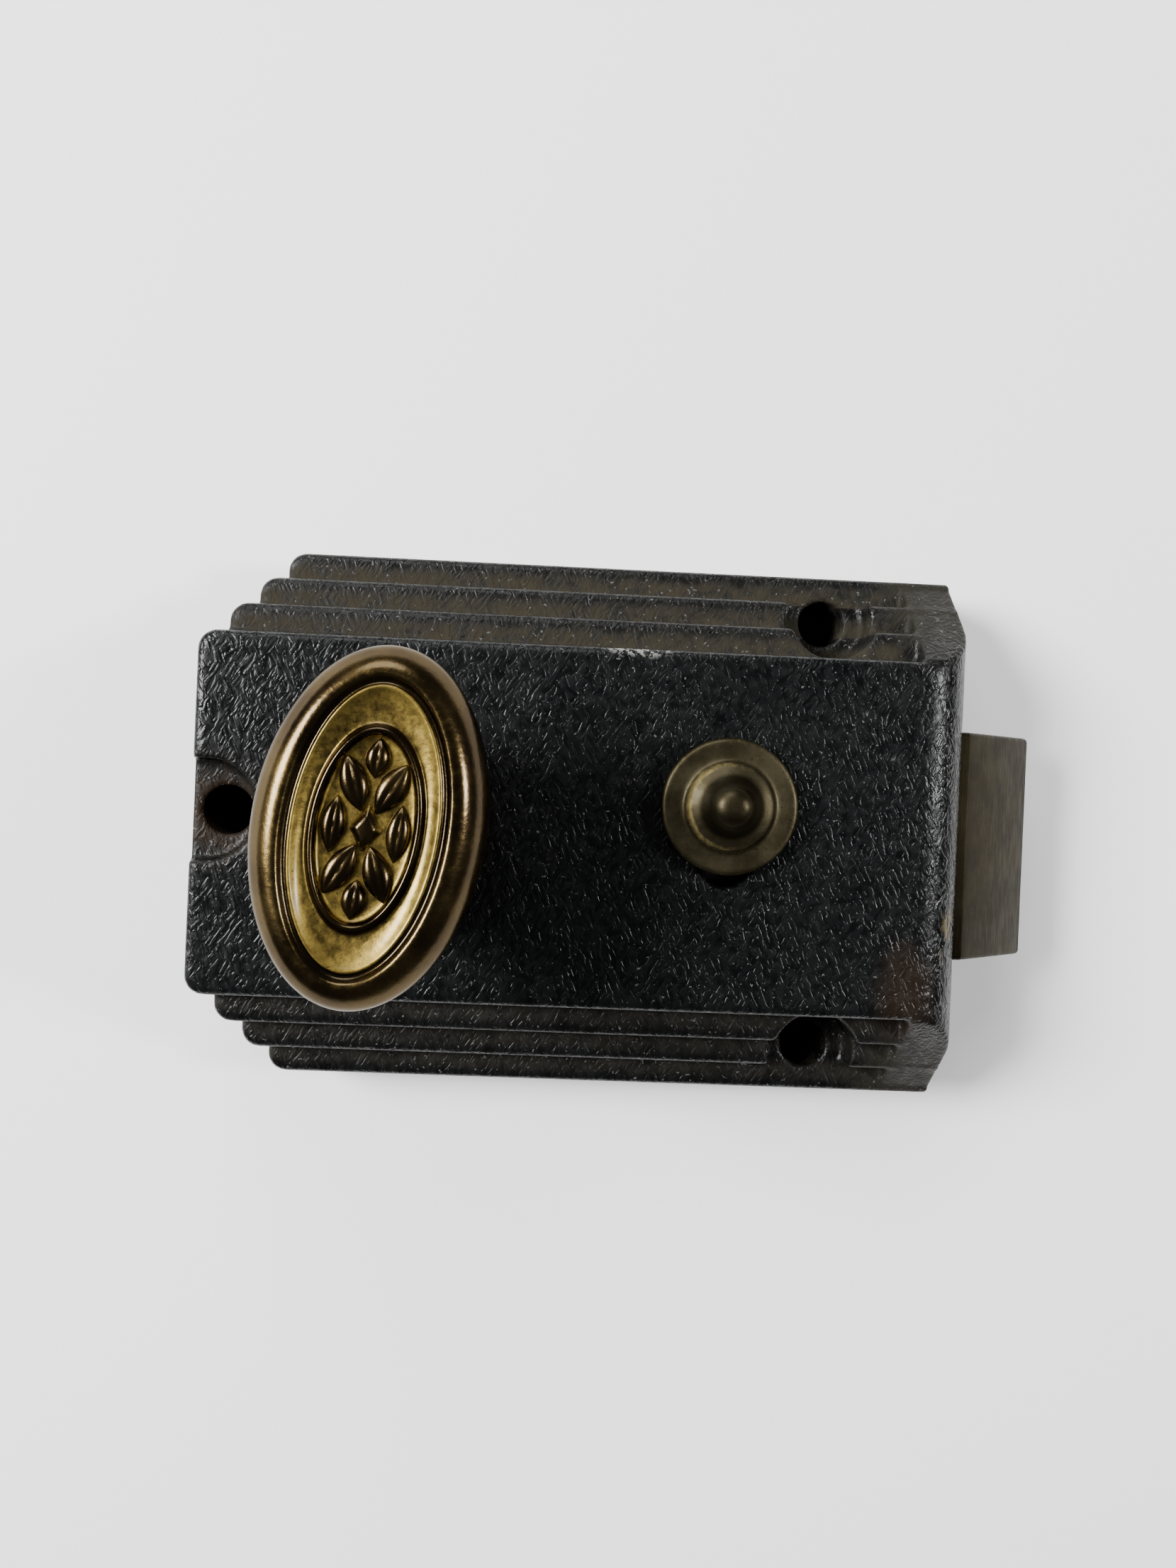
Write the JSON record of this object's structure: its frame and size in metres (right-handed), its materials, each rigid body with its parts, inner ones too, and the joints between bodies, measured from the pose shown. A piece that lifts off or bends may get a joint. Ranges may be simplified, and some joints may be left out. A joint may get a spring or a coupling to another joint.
{
  "type": "rim night latch",
  "caption": "Surface-mounted door latch: stepped cast case, bevelled spring bolt, oval turn knob and a sliding stop button.",
  "frame": {"origin": "middle of the case's back, on the face that is screwed to the door", "axes": "+Z out of the door into the room, +X the way the bolt shoots, +Y up the door"},
  "size_m": [0.0996, 0.0636, 0.0481],
  "materials": {
    "wrinkle_black": "black wrinkle enamel on cast metal, dusty on the steps",
    "knob_brass": "cast brass, brown patina on the rim, brighter in the recessed field",
    "bolt_brass": "dull grey-brown worn brass",
    "button_brass": "dull brass with bright worn edges",
    "steel": "plain oiled steel",
    "spring_steel": "dark tempered steel"
  },
  "bodies": {
    "case": {"case": "wrinkle_black", "back_plate": "steel", "back_plate_screw_1": "steel", "back_plate_screw_2": "steel", "back_plate_screw_3": "steel", "back_plate_screw_4": "steel", "knob_washer": "knob_brass", "spring_bracket": "steel", "bracket_screw": "steel", "guide_post": "steel", "guide_washer": "steel", "guide_screw": "steel", "stop_leaf_spring": "spring_steel", "leaf_screw": "steel"},
    "knob": {"knob": "knob_brass", "knob_pin": "steel", "spindle": "steel", "spindle_clip": "spring_steel", "cam": "steel", "cam_pin": "steel"},
    "bolt": {"bolt": "bolt_brass", "bolt_tail": "steel", "tail_rivet_1": "steel", "tail_rivet_2": "steel", "spring_rod": "steel", "bolt_spring": "spring_steel"},
    "stop": {"stop_button": "button_brass", "stop_slide": "steel", "stop_rivet": "button_brass"}
  },
  "joints": [
    {"name": "knob_turn", "type": "hinge", "parent": "case", "child": "knob", "pos_m": [-0.0209, 0, 0.024], "axis": [0, 0, 1], "range_deg": [0, 60], "stiffness_Nm_per_rad": 0.07, "springref_deg": -45.26},
    {"name": "bolt_slide", "type": "slide", "parent": "case", "child": "bolt", "axis": [-1, 0, 0], "range_m": [0, 0.0106], "deforming": ["bolt_spring"]},
    {"name": "stop_slide", "type": "slide", "parent": "case", "child": "stop", "axis": [0, -1, 0], "range_m": [0, 0.0062]}
  ],
  "couplings": [
    {"joint": "knob_turn", "follows": "bolt_slide", "rad_per_m": 98.792}
  ]
}
